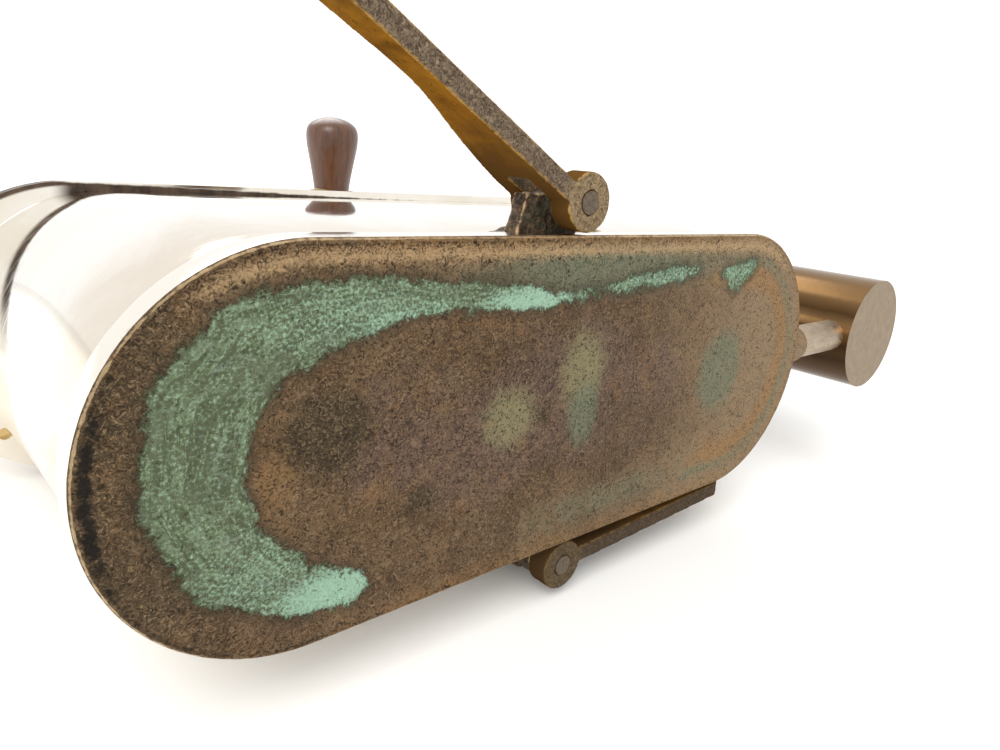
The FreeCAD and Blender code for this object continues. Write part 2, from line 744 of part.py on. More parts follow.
def make_bracket(side, half_turn, shell):
    """The bracket brazed above the base: a tapered foot, the knuckle and the catch lug, and the pin."""
    low = "base_height + 0.1"
    reach = "pivot_side - base_width / 2 + foot_inset"
    foot = wedge((-25, 20, 0, 14), (-17, 14, 0, 10), "3.4")
    foot.Placement = Placement(Vector(), Rotation(Vector(0, 0, 1), 180))
    bind(foot, ".Placement.Base.y", reach)
    bind(foot, ".Placement.Base.z", low)
    backing = box("34", "3", "9", ("-14", reach, low))
    knuckle = cylinder("eye_radius - 1", "slot_top - slot_bottom - 0.5", ("0", "0", "slot_bottom + 0.25"))
    web = box("11", "11", "slot_top - base_height - 0.5", ("-5.5", "0", low))
    lug = wedge((-15, -7.5, 0, 5), (-18, -6.7, 0, 5.6), "11.9")
    bind(lug, ".Placement.Base.y", f"{reach} - 13.4")
    bind(lug, ".Placement.Base.z", low)
    bore = cylinder("pin_radius", "slot_top", ("0", "0", "slot_bottom - 2"))
    bracket = cut(fuse(foot, backing, knuckle, web, lug), bore)
    bracket.Placement = lever_place(half_turn, 0)
    node(cut(bracket, shell), f"{side}_foot_bracket")
    pin = cylinder("pin_radius", "eye_top - eye_bottom + 0.4", ("0", "0", "eye_bottom - 0.2"))
    node(group_at([pin], lever_place(half_turn, 0)), f"{side}_foot_pin")


# ---------------------------------------------------------------- suction pot and hose spigots

def make_pot():
    """The strainer pot beside the base: body, lid on top, seal and basket."""
    wall = cylinder("pot_radius", "pot_height", ("pot_centre", "0", "0"))
    hollow = cylinder("pot_radius - pot_wall", "pot_height", ("pot_centre", "0", "pot_floor"))
    pipe_hole = cylinder("pipe_radius", "pot_radius + 10", ("pot_centre", "0", "pipe_height"), "-x")
    node(cut(wall, hollow, pipe_hole), "suction_pot")
    lid_base = "pot_height + seal_height"
    disc = cylinder("pot_radius", "lid_height", ("pot_centre", "0", lid_base))
    collar = tube("pot_radius - pot_wall - 0.1", "pot_radius - pot_wall - 4", "9",
                  ("pot_centre", "0", f"{lid_base} - 9"))
    top_hole = cylinder("spigot_bore", "20", ("pot_centre", "0", f"{lid_base} - 5"))
    node(cut(fuse(disc, collar), top_hole, *flange_holes("pot_centre", f"{POT_TOP} - 4")), "pot_lid")
    seal = tube("pot_radius - 0.2", "pot_radius - pot_wall", "seal_height",
                ("pot_centre", "0", "pot_height"))
    node(seal, "pot_seal")
    basket = tube("pot_radius - pot_wall - 4.2", "pot_radius - pot_wall - 5.4", "pot_height - pot_floor",
                  ("pot_centre", "0", "pot_floor"))
    node(cut(basket, *basket_slots()), "strainer_basket")


def basket_slots():
    """Level slots right through the basket, in six directions and five rows."""
    slots = []
    for direction in range(6):
        turn = Rotation(Vector(0, 0, 1), 30 * direction)
        for level in range(5):
            slot = doc.addObject("Part::Box", "Slot")
            slot.Length = 60
            slot.Width = 4
            slot.Height = 8
            middle = Vector(size("pot_centre"), 0, 24 + 13 * level)
            slot.Placement = Placement(middle + turn.multVec(Vector(-30, -2, 0)), turn)
            slots.append(slot)
    return slots


def make_pipes():
    """The pipe from pot to valve chest, the suction spigot on the pot and the spout on the cover."""
    end = "pot_centre - pot_radius + 3"
    pipe = tube("pipe_radius", "pipe_bore", f"{end} - pipe_start", ("pipe_start", "0", "pipe_height"), "+x")
    node(pipe, "suction_pipe")

    plate = cylinder("spigot_flange", "spigot_plate", ("pot_centre", "0", POT_TOP))
    tail = cylinder("spigot_radius", "spigot_length + spigot_plate", ("pot_centre", "0", POT_TOP))
    bore = cylinder("spigot_bore", "spigot_length + spigot_plate + 4", ("pot_centre", "0", f"{POT_TOP} - 2"))
    shoulder = cylinder("spigot_radius + 0.3", "spigot_plate + spigot_shoulder",
                        ("pot_centre", "0", POT_TOP))
    holes = flange_holes("pot_centre", f"{POT_TOP} - 4")
    node(cut(fuse(plate, shoulder, tail), bore, *holes), "suction_spigot")
    node(flange_screws("pot_centre", f"{POT_TOP} + spigot_plate"), "spigot_screws")

    centre = "-spout_centre"
    height = f"({COVER_TOP} + 10 + spout_bend)"
    tip = "-spout_centre - spout_bend - spigot_length"
    collar = cylinder("spigot_flange", "spigot_plate", (centre, "0", COVER_TOP))
    outer = bent_pipe("spigot_radius", centre, COVER_TOP, "spout_bend", height, tip)
    inner = bent_pipe("spigot_bore", centre, f"{COVER_TOP} - 1", "spout_bend", height, f"{tip} - 5")
    node(cut(fuse(collar, outer), inner, *flange_holes(centre, f"{COVER_TOP} - 4")), "delivery_spout")
    node(flange_screws(centre, f"{COVER_TOP} + spigot_plate"), "spout_screws")


# ---------------------------------------------------------------- the whole pump

def make_pump():
    """Builds every piece of the pump."""
    make_base()
    shell = make_shell()
    make_flange()
    make_valve_plate()
    lifts = {"right": "0", "left": "pitch_radius * stroke_angle * pi / 180"}
    signs = {"right": "", "left": "-"}
    pedestal_screws = []
    for side in ("left", "right"):
        make_barrel(side, signs[side])
        make_piston(side, signs[side], lifts[side])
        make_rod(side, signs[side], lifts[side])
        make_gland(side, signs[side])
    make_quadrant()
    for side, sign in (("front", "-"), ("rear", "")):
        pedestal_screws += make_pedestal(side, sign)
    node(group(pedestal_screws), "pedestal_screws")
    make_handle()
    for side, half_turn, opening in (("front", 0, size("lever_open")), ("rear", 180, size("lever_shut"))):
        make_lever(side, half_turn, opening)
        make_bracket(side, half_turn, shell)
    make_pot()
    make_pipes()


def write_pieces():
    """Checks every object and piece, then writes each piece to its own file."""
    doc.recompute()
    for thing in doc.Objects:
        if "Invalid" in thing.State or "Error" in thing.State:
            raise RuntimeError(f"{thing.Label} ({thing.Name}) failed: {thing.State}")
    for piece in nodes:
        if piece.Shape.isNull() or not piece.Shape.isValid() or not piece.Shape.Solids:
            raise RuntimeError(f"{piece.Label} has no valid solid")
    os.makedirs("parts", exist_ok=True)
    for piece in nodes:
        piece.Shape.exportStep(f"parts/{piece.Label}.step")
        print(piece.Label, len(piece.Shape.Solids), round(piece.Shape.Volume))


make_pump()
write_pieces()
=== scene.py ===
import json
import math

import bpy
import numpy as np
from mathutils import Matrix, Quaternion, Vector, noise


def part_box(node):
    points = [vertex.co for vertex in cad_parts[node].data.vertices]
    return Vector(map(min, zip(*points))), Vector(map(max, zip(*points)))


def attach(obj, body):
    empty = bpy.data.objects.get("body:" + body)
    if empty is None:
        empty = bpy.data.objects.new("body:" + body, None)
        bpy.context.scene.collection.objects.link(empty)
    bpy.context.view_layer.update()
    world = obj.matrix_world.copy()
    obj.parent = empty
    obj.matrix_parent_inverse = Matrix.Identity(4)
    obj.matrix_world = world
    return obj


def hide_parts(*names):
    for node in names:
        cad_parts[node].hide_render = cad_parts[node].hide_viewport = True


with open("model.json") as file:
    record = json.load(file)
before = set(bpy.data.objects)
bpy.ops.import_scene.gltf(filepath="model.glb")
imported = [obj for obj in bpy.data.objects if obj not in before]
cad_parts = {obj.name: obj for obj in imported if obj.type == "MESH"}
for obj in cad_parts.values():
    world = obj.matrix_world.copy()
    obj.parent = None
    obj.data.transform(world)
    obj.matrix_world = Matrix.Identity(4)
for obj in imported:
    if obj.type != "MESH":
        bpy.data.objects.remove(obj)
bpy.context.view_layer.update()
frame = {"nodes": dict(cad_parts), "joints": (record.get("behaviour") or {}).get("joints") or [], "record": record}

# The pump stands upright in its frame. The main view shows it lying on its +Y side, seen from below,
# so the table is a steep plane on the +Y side and the camera looks up at the base's underside.

MM = 0.001
SLOTS = {row["node"]: row["material_slot"] for row in frame["record"]["subparts"]}


# ---------------------------------------------------------------- camera, table and light

def make_camera():
    """The camera, by its place, the point that it looks at and its roll."""
    data = bpy.data.cameras.new("Camera")
    data.lens = 26.5
    data.sensor_width = 36
    data.clip_start = 0.01
    data.clip_end = 20
    camera = bpy.data.objects.new("Camera", data)
    place = Vector((-158.3, -65.7, -135.8)) * MM
    target = Vector((5.0, 3.9, 40.2)) * MM
    roll = Quaternion((0, 0, 1), math.radians(-68.6))
    turn = (target - place).to_track_quat("-Z", "Y") @ roll
    camera.matrix_world = Matrix.Translation(place) @ turn.to_matrix().to_4x4()
    bpy.context.scene.collection.objects.link(camera)
    bpy.context.scene.camera = camera


def one_sided(name, colour):
    """A matte pale material that can't be seen from its back."""
    made = bpy.data.materials.new(name)
    made.use_nodes = True
    tree = made.node_tree
    tree.nodes.clear()
    out = tree.nodes.new("ShaderNodeOutputMaterial")
    blend = tree.nodes.new("ShaderNodeMixShader")
    matte = tree.nodes.new("ShaderNodeBsdfPrincipled")
    matte.inputs["Base Color"].default_value = (*colour, 1)
    matte.inputs["Roughness"].default_value = 1
    matte.inputs["Specular IOR Level"].default_value = 0
    matte.inputs["Emission Color"].default_value = (1, 1, 1, 1)
    matte.inputs["Emission Strength"].default_value = 0.03
    clear = tree.nodes.new("ShaderNodeBsdfTransparent")
    side = tree.nodes.new("ShaderNodeNewGeometry")
    tree.links.new(side.outputs["Backfacing"], blend.inputs[0])
    tree.links.new(matte.outputs[0], blend.inputs[1])
    tree.links.new(clear.outputs[0], blend.inputs[2])
    tree.links.new(blend.outputs[0], out.inputs["Surface"])
    return made


def make_plane(name, centre, normal, reach, material):
    """A square sheet of the stage."""
    mesh = bpy.data.meshes.new(name)
    corners = [(-reach, -reach, 0), (reach, -reach, 0), (reach, reach, 0), (-reach, reach, 0)]
    mesh.from_pydata(corners, [], [(0, 1, 2, 3)])
    sheet = bpy.data.objects.new(name, mesh)
    sheet.matrix_world = Matrix.Translation(centre) @ normal.to_track_quat("Z", "Y").to_matrix().to_4x4()
    mesh.materials.append(material)
    bpy.context.scene.collection.objects.link(sheet)
    return sheet


def make_stage():
    """The table under the pump's +Y side, and a floor that shows only from above."""
    reach = 3
    gap = 0.5 * MM
    lever_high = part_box("rear_foot_lever")[1]
    flange_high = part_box("top_cover")[1]
    lever = Vector((0, lever_high[1], lever_high[2]))
    flange = Vector((0, flange_high[1], flange_high[2]))
    along = (flange - lever).normalized()
    normal = Vector((0, -along[2], along[1]))
    white = one_sided("table_white", (0.86, 0.855, 0.84))
    make_plane("table", lever - normal * gap, normal, reach, white)
    floor = make_plane("floor", Vector((0, 0, -0.2 * MM)), Vector((0, 0, 1)), reach, white)
    floor.visible_shadow = False
    floor.visible_diffuse = False
    floor.visible_glossy = False


def area_light(name, place, target, side, power, colour=(1, 1, 1)):
    """A soft square light aimed at a point."""
    data = bpy.data.lights.new(name, "AREA")
    data.shape = "RECTANGLE"
    data.size = side
    data.size_y = side
    data.energy = power
    data.color = colour
    lamp = bpy.data.objects.new(name, data)
    lamp.location = place
    lamp.rotation_mode = "QUATERNION"
    lamp.rotation_quaternion = (Vector(target) - Vector(place)).to_track_quat("-Z", "Y")
    bpy.context.scene.collection.objects.link(lamp)


def make_light():
    """A white surround and two soft lights."""
    world = bpy.data.worlds.new("World")
    bpy.context.scene.world = world
    world.use_nodes = True
    background = world.node_tree.nodes["Background"]
    background.inputs["Color"].default_value = (1, 1, 1, 1)
    background.inputs["Strength"].default_value = 1.15
    area_light("key", (-0.75, -0.9, -0.45), (0, 0, 0.03), side=0.7, power=9, colour=(1, 0.97, 0.92))
    area_light("top", (0.2, -0.9, 0.9), (0, 0, 0.12), side=0.9, power=7)
    bpy.context.scene.view_settings.view_transform = "Standard"


# ---------------------------------------------------------------- material building blocks

class Shader:
    """A Principled material with short calls for the nodes that the pump's surfaces use."""

    def __init__(self, name, metallic=1.0, roughness=0.4, **settings):
        self.material = bpy.data.materials.new(name)
        self.material.use_nodes = True
        self.tree = self.material.node_tree
        self.surface = self.tree.nodes["Principled BSDF"]
        self.surface.inputs["Metallic"].default_value = metallic
        self.surface.inputs["Roughness"].default_value = roughness
        for socket, value in settings.items():
            self.surface.inputs[socket.replace("_", " ")].default_value = value
        place = self.tree.nodes.new("ShaderNodeTexCoord")
        self.place = self.node("ShaderNodeVectorMath", "SCALE", {0: place.outputs["Object"], 3: 1000})

    def node(self, kind, operation=None, inputs=None, output=0, **settings):
        """A node with its inputs set or linked, and the socket that it gives."""
        made = self.tree.nodes.new(kind)
        if operation:
            made.operation = operation
        for name, value in settings.items():
            setattr(made, name, value)
        for key, value in (inputs or {}).items():
            if isinstance(value, bpy.types.NodeSocket):
                self.tree.links.new(value, made.inputs[key])
            else:
                made.inputs[key].default_value = value
        return made.outputs[output]

    def stretch(self, x, y, z):
        """Coordinates in millimetres, stretched along the axes."""
        return self.node("ShaderNodeVectorMath", "MULTIPLY", {0: self.place, 1: (x, y, z)})

    def noise(self, scale, detail=4, rough=0.55, warp=0.0, place=None):
        """Fractal noise from 0 to 1, with its scale per millimetre."""
        inputs = {"Vector": place or self.place, "Scale": scale, "Detail": detail,
                  "Roughness": rough, "Distortion": warp}
        return self.node("ShaderNodeTexNoise", None, inputs)

    def cells(self, scale):
        """Distance to the nearest of scattered points."""
        return self.node("ShaderNodeTexVoronoi", None, {"Vector": self.place, "Scale": scale})

    def attribute(self, name):
        """A number kept on the mesh's points."""
        return self.node("ShaderNodeAttribute", None, output=2, attribute_name=name)

    def sum(self, first, second, operation="ADD", clamp=False):
        """Arithmetic on two numbers."""
        return self.node("ShaderNodeMath", operation, {0: first, 1: second}, use_clamp=clamp)

    def times(self, first, second):
        """A product of two numbers."""
        return self.sum(first, second, "MULTIPLY")

    def centred(self, value, amount):
        """A number from 0 to 1 moved to run about zero, and scaled."""
        return self.times(self.sum(value, -0.5), amount)

    def band(self, value, low, high, first=0.0, last=1.0):
        """A smooth step of a number from low to high."""
        inputs = {0: value, 1: low, 2: high, 3: first, 4: last}
        return self.node("ShaderNodeMapRange", None, inputs, interpolation_type="SMOOTHSTEP")

    def mark(self, name, broken, amount):
        """A mark kept on the mesh's points, its border broken up by noise."""
        return self.sum(self.attribute(name), self.centred(broken, amount))

    def stain(self, under, name, broken, amount, span, most, colour):
        """A colour laid over another, from nothing to most of it as a mark goes through a span."""
        low, high = span
        return self.mix(self.band(self.mark(name, broken, amount), low, high, 0.0, most), under, colour)

    def ramp(self, value, *stops):
        """A colour ramp through (position, colour) stops."""
        made = self.tree.nodes.new("ShaderNodeValToRGB")
        self.tree.links.new(value, made.inputs[0])
        points = made.color_ramp.elements
        while len(points) < len(stops):
            points.new(0.5)
        for point, (position, colour) in zip(points, stops):
            point.position = position
            point.color = (*colour, 1)
        return made.outputs[0]

    def mix(self, amount, first, second):
        """A blend of two colours."""
        made = self.tree.nodes.new("ShaderNodeMix")
        made.data_type = "RGBA"
        for key, value in ((0, amount), (6, first), (7, second)):
            if isinstance(value, bpy.types.NodeSocket):
                self.tree.links.new(value, made.inputs[key])
            elif isinstance(value, tuple):
                made.inputs[key].default_value = (*value, 1)
            else:
                made.inputs[key].default_value = value
        return made.outputs[2]

    def bump(self, height, depth, strength=1.0):
        """A bump of a real depth in metres."""
        return self.node("ShaderNodeBump", None, {"Height": height, "Strength": strength, "Distance": depth})

    def facing(self, axis):
        """How squarely the surface faces along an axis of the object, from 0 to 1."""
        place = self.tree.nodes.new("ShaderNodeTexCoord")
        split = self.tree.nodes.new("ShaderNodeSeparateXYZ")
        self.tree.links.new(place.outputs["Normal"], split.inputs[0])
        return self.node("ShaderNodeMath", "ABSOLUTE", {0: split.outputs[axis]})

    def axis(self, number):
        """One coordinate in millimetres."""
        split = self.tree.nodes.new("ShaderNodeSeparateXYZ")
        self.tree.links.new(self.place, split.inputs[0])
        return split.outputs[number]

    def finish(self, colour=None, roughness=None, metallic=None, normal=None):
        """Links what varies over the surface to the shader."""
        for socket, value in (("Base Color", colour), ("Roughness", roughness),
                              ("Metallic", metallic), ("Normal", normal)):
            if value is not None:
                self.tree.links.new(value, self.surface.inputs[socket])
        return self.material


# ---------------------------------------------------------------- materials

def bare_casting(look, fibre, fine):
    """The base's bare metal: brown bronze with purple mottling, stains, dark pits and painted golden glints."""
    middle = look.attribute("middle")
    blotch = look.noise(0.05, 6, 0.65, 0.8)
    brown = look.ramp(blotch, (0.28, (0.085, 0.049, 0.023)), (0.45, (0.122, 0.074, 0.038)),
                      (0.58, (0.155, 0.098, 0.052)), (0.75, (0.22, 0.14, 0.066)))
    purple = look.band(look.sum(look.noise(0.035, 4, 0.6, 0.3), look.times(middle, 0.35)), 0.55, 0.8)
    brown = look.mix(look.times(purple, 0.65), brown, (0.145, 0.092, 0.074))
    brown = look.stain(brown, "light", look.noise(0.06, 5, 0.65), 1.0, (0, 1), 0.85, (0.32, 0.225, 0.125))
    specks = look.times(look.band(look.noise(0.42, 4, 0.65, 0.5), 0.40, 0.46, 1.0, 0.0), middle)
    brown = look.mix(look.times(specks, 0.8), brown, (0.040, 0.026, 0.022))
    rust = look.band(look.noise(0.09, 6, 0.75, 0.9), 0.52, 0.66)
    brown = look.mix(look.times(rust, 0.45), brown, (0.235, 0.125, 0.055))
    brown = look.stain(brown, "warm", look.noise(0.15, 4), 1.0, (0.1, 0.9), 0.85, (0.33, 0.185, 0.070))
    brown = look.stain(brown, "dark", look.noise(0.25, 5, 0.7), 1.0, (0.2, 0.75), 0.8, (0.052, 0.040, 0.022))
    brown = look.stain(brown, "pale", look.noise(0.3, 6, 0.75), 1.6, (0.2, 1.0), 0.75, (0.29, 0.27, 0.14))
    brown = look.stain(brown, "haze", look.noise(0.2, 6, 0.75), 1.4, (0.05, 1.0), 0.75, (0.165, 0.20, 0.13))
    brown = look.mix(look.band(fibre, 0.38, 0.49, 0.9, 0.0), brown, (0.026, 0.017, 0.010))
    brown = look.mix(look.band(fibre, 0.52, 0.63, 0.0, 0.6), brown, (0.30, 0.205, 0.120))
    # painted highlights: golden glints at scattered specks and along the rim where the edge mark is set
    glint = look.times(look.band(fine, 0.60, 0.70), look.band(look.noise(0.07, 3), 0.42, 0.66, 0.1, 0.8))
    glint = look.sum(glint, look.band(look.mark("edge", fibre, 1.5), 0.55, 1.1, 0.0, 0.8), clamp=True)
    return look.mix(glint, brown, (0.50, 0.34, 0.18))


def verdigris(look, tone, run):
    """The green crust, streaked along its band, with mint and white patches and pits."""
    green = look.ramp(tone, (0.32, (0.070, 0.088, 0.044)), (0.44, (0.125, 0.162, 0.083)),
                      (0.54, (0.185, 0.243, 0.138)), (0.68, (0.31, 0.40, 0.26)))
    green = look.mix(look.band(run, 0.48, 0.56, 0.0, 0.85), green, (0.090, 0.105, 0.060))
    green = look.mix(look.band(run, 0.48, 0.36, 0.0, 0.4), green, (0.26, 0.35, 0.25))
    drab = look.band(look.noise(0.12, 5, 0.72, 0.6), 0.48, 0.60, 0.0, 0.6)
    green = look.mix(drab, green, (0.130, 0.150, 0.090))
    green = look.stain(green, "mint", tone, 2.6, (0.0, 1.0), 0.88, (0.38, 0.60, 0.44))
    hair = look.band(look.noise(0.30, 5, 0.7, 0.8, look.stretch(0.55, 1.7, 1)), 0.55, 0.66)
    white = look.times(look.times(hair, 0.45), look.attribute("inner"))
    green = look.mix(white, green, (0.42, 0.52, 0.42))
    pits = look.band(look.noise(0.8, 4, 0.65, 0.8), 0.34, 0.43, 0.8, 0.0)
    return look.mix(pits, green, (0.050, 0.055, 0.030))


def cast_base():
    """The base: bare casting with bands of verdigris, a painted shade along the rim, a rubbed golden lip with a
    painted highlight, and a plated side wall.
    """
    look = Shader("cast_base", metallic=0.2, roughness=0.62, Specular_IOR_Level=0.15)
    fibre = look.noise(0.72, 5, 0.64, 2.2)
    fine = look.noise(2.0, 3, 0.7, 0.6)
    tone = look.noise(1.25, 4, 0.66, 0.2)
    slow = look.stretch(0.16, 0.16, 0.16)
    along = look.node("ShaderNodeVectorMath", "MULTIPLY_ADD",
                      {0: (0, 0, 1), 1: look.attribute("crust"), 2: slow})
    run = look.noise(0.75, 4, 0.7, 0.5, along)
    inside = look.mark("crust", look.noise(0.20, 7, 0.72, 0.4), 9.0)
    crust = look.band(look.sum(inside, look.centred(fibre, 4.0)), -0.6, 0.9)
    colour = look.mix(crust, bare_casting(look, fibre, fine), verdigris(look, tone, run))
    halo = look.times(look.band(inside, -3.5, -0.6), look.sum(1.0, crust, "SUBTRACT"))
    colour = look.mix(look.times(halo, 0.4), colour, (0.045, 0.038, 0.022))
    black = (0.012, 0.010, 0.008)
    # painted shade: a black band along the rounded rim, stronger at the left end
    colour = look.stain(colour, "painted_rim_shade", look.noise(0.4, 5, 0.7), 1.7, (0.45, 0.9), 0.95, black)
    # lip: a pale golden line along the rim, a painted highlight on rubbed metal; on the side wall patchy, paler
    # towards the left end
    lip = look.band(look.mark("lip", look.noise(0.5, 4), 1.6), 0.55, 0.95)
    colour = look.mix(look.times(lip, 0.85), colour, (0.50, 0.36, 0.20))
    metal = look.sum(look.sum(0.35, look.times(crust, 0.35), "SUBTRACT"), look.times(lip, 0.5), clamp=True)
    rough = look.sum(look.sum(0.58, look.times(crust, 0.3)), look.times(lip, -0.25), clamp=True)
    plate = look.band(look.mark("plate", look.noise(0.12, 5, 0.7), 0.9), 0.35, 0.6)
    colour = look.mix(plate, colour, (0.84, 0.79, 0.70))
    rough = look.sum(rough, look.times(plate, 0.48), "SUBTRACT", clamp=True)
    metal = look.sum(metal, plate, clamp=True)
    crumbs = look.times(crust, look.times(look.sum(tone, run), 0.5))
    relief = look.sum(look.sum(fibre, look.times(fine, 0.4)), crumbs)
    depth = look.band(plate, 0.0, 1.0, 0.0009, 0.00002)
    return look.finish(colour, rough, metal, look.bump(relief, depth))


def polished_nickel():
    """Nickel plate: a mirror with a faint warm tarnish, a browner tint towards the foot, and fine scratches."""
    look = Shader("polished_nickel", metallic=1.0, roughness=0.05)
    colour = look.ramp(look.noise(0.02, 4, 0.6, 0.4), (0.35, (0.86, 0.82, 0.75)),
                       (0.62, (0.90, 0.87, 0.82)), (0.8, (0.72, 0.62, 0.48)))
    height = look.sum(look.axis(2), look.times(look.noise(0.04, 5, 0.7, 0.5), 60))
    foot = look.band(height, 50, 95, 1.0, 0.0)
    colour = look.mix(look.times(foot, 0.6), colour, (0.62, 0.50, 0.36))
    streak = look.noise(1.0, 3, 0.6, 0.0, look.stretch(0.05, 0.05, 1.4))
    scratch = look.noise(0.9, 2, 0.5, 0.8, look.stretch(1.3, 1.3, 0.06))
    rough = look.band(streak, 0.45, 0.75, 0.035, 0.13)
    return look.finish(colour, rough, None, look.bump(scratch, 0.00001, 0.35))


def bronze(name, tint, dark, roughness, grain, depth=0.00008):
    """Bronze whose tone wanders, with darker specks."""
    look = Shader(name, metallic=0.9, roughness=roughness)
    speck = look.noise(grain, 5, 0.7)
    colour = look.ramp(look.noise(0.08, 5, 0.6, 0.5), (0.3, dark), (0.65, tint))
    colour = look.mix(look.band(speck, 0.5, 0.7, 0.0, 0.6), colour, dark)
    rough = look.band(speck, 0.3, 0.7, roughness * 0.8, min(roughness * 1.4, 1.0))
    return look.finish(colour, rough, None, look.bump(speck, depth, 0.8))


def lever_casting():
    """The foot levers: granular grey-brown sides, smooth ochre faces, golden rubbed edges, and a painted shade
    over the rear lever.
    """
    look = Shader("lever_casting", metallic=0.0, roughness=0.6, Specular_IOR_Level=0.0)
    side = look.band(look.facing(2), 0.72, 0.93)
    grain = look.noise(1.1, 4, 0.68, 1.2)
    grey = look.ramp(grain, (0.36, (0.055, 0.040, 0.028)), (0.50, (0.145, 0.107, 0.074)),
                     (0.67, (0.29, 0.215, 0.145)))
    ochre = look.ramp(look.noise(0.05, 5, 0.65, 0.6), (0.35, (0.125, 0.054, 0.009)),
                      (0.62, (0.265, 0.118, 0.014)))
    pits = look.band(look.noise(0.8, 4, 0.65), 0.30, 0.37)
    ochre = look.mix(pits, (0.040, 0.020, 0.006), ochre)
    ochre = look.stain(ochre, "root", look.noise(0.2, 4), 1.0, (0.0, 0.9), 0.85, (0.085, 0.044, 0.014))
    colour = look.mix(side, ochre, grey)
    gold = look.ramp(grain, (0.38, (0.125, 0.085, 0.045)), (0.60, (0.36, 0.265, 0.155)))
    colour = look.mix(look.times(look.attribute("eye"), side), colour, gold)
    # golden rubbed edges where the mesh bulges
    colour = look.stain(colour, "wear_and_painted_light", look.noise(0.45, 5, 0.7), 1.6, (0.55, 1.05), 0.8, (0.47, 0.29, 0.10))
    # painted shade: the whole rear lever darkened, as it lies against the table under the base
    colour = look.mix(look.times(look.attribute("painted_lever_shade"), 0.62), colour, (0.040, 0.028, 0.018))
    rough = look.band(side, 0.0, 1.0, 0.5, 0.65)
    metal = look.band(side, 0.0, 1.0, 0.0, 0.2)
    height = look.sum(look.times(grain, side), look.times(pits, 0.15))
    return look.finish(colour, rough, metal, look.bump(height, 0.0006))


def corroded_bronze():
    """The brackets: nearly black, with green corrosion at the foot and painted golden glints on their edges."""
    look = Shader("corroded_bronze", metallic=0.6, roughness=0.5)
    grain = look.noise(0.8, 6, 0.75, 0.8)
    colour = look.ramp(grain, (0.35, (0.016, 0.011, 0.008)), (0.50, (0.085, 0.058, 0.036)),
                       (0.66, (0.30, 0.20, 0.115)))
    foot = look.band(look.axis(2), 10.7, 11.8, 0.4, 0.0)
    green = look.times(look.band(look.noise(0.3, 5, 0.7), 0.45, 0.6), foot)
    colour = look.mix(green, colour, (0.065, 0.105, 0.070))
    # painted highlights: golden glints on the bulging edges, partly rubbed metal
    colour = look.stain(colour, "wear_and_painted_light", look.noise(0.6, 4), 2.2, (0.5, 0.95), 1.0, (0.66, 0.45, 0.24))
    return look.finish(colour, None, None, look.bump(grain, 0.0006))


def flange_metal():
    """The flange: bright plating, with a dark painted shade along the wall's -Y side and at the left end's edge.
    """
    look = Shader("flange_metal", metallic=1.0, roughness=0.18)
    wall = 46.3
    arc_centre = (-97.7, 0, 136)
    x = look.axis(0)
    y = look.axis(1)
    across = look.node("ShaderNodeMath", "ABSOLUTE", {0: y})
    inside = look.sum(look.sum(wall, look.band(x, -105, 38, 2.4, 0.0)), across, "SUBTRACT")
    # painted shade: a dark band along the wall's -Y side, where the flange meets the shell
    painted_wall_shade = look.band(look.sum(inside, look.centred(look.noise(0.25, 4), 1.2)), -0.2, 0.5)
    for limit in (look.band(x, 24, 38, 1.0, 0.0), look.band(y, -40, -34, 1.0, 0.0), look.band(x, -106, -99)):
        painted_wall_shade = look.times(painted_wall_shade, limit)
    offset = look.node("ShaderNodeVectorMath", "SUBTRACT", {0: look.place, 1: arc_centre})
    reach = look.node("ShaderNodeVectorMath", "LENGTH", {0: offset}, 1)
    # painted shade: a dark line along the outer edge of the flange's left end
    painted_end_shade = look.times(look.band(reach, 47.2, 48.0), look.band(x, -106, -99, 1.0, 0.0))
    painted_end_shade = look.times(painted_end_shade, look.band(y, -25, 0, 1.0, 0.0))
    dark = look.sum(painted_wall_shade, painted_end_shade, clamp=True)
    tone = look.noise(0.15, 5, 0.7)
    # the dark colour of the painted shade
    wear_and_painted_light = look.ramp(tone, (0.35, (0.020, 0.013, 0.010)), (0.7, (0.13, 0.085, 0.055)))
    plate = look.ramp(look.noise(0.03, 4), (0.35, (0.80, 0.74, 0.64)), (0.65, (0.88, 0.85, 0.79)))
    rough = look.band(dark, 0.0, 1.0, 0.08, 0.45)
    metal = look.band(dark, 0.0, 1.0, 1.0, 0.6)
    return look.finish(look.mix(dark, plate, wear_and_painted_light), rough, metal, look.bump(tone, 0.00004, 0.5))


def pot_metal():
    """The pot: a polished wall with painted reflections in dark and golden bands across it, and a matte grey-tan
    bottom.
    """
    look = Shader("pot_metal", metallic=1.0, roughness=0.2)
    wander = look.centred(look.noise(0.03, 3, 0.5), 9)
    round_way = look.sum(look.sum(look.axis(1), wander), look.times(look.axis(2), 0.10))
    # painted reflections: dark and bright bands round the wall
    wall = look.ramp(look.band(round_way, -30, 30),
                     (0.08, (0.21, 0.120, 0.050)), (0.26, (0.070, 0.037, 0.015)),
                     (0.42, (0.26, 0.155, 0.070)), (0.58, (0.135, 0.076, 0.033)),
                     (0.78, (0.055, 0.033, 0.018)), (0.95, (0.13, 0.075, 0.040)))
    bottom = look.band(look.facing(2), 0.6, 0.85)
    tone = look.noise(0.25, 6, 0.7)
    disc = look.ramp(tone, (0.35, (0.24, 0.185, 0.125)), (0.65, (0.31, 0.24, 0.165)))
    rough = look.band(bottom, 0.0, 1.0, 0.2, 0.75)
    metal = look.band(bottom, 0.0, 1.0, 1.0, 0.25)
    return look.finish(look.mix(bottom, wall, disc), rough, metal, look.bump(tone, 0.00005, 0.6))


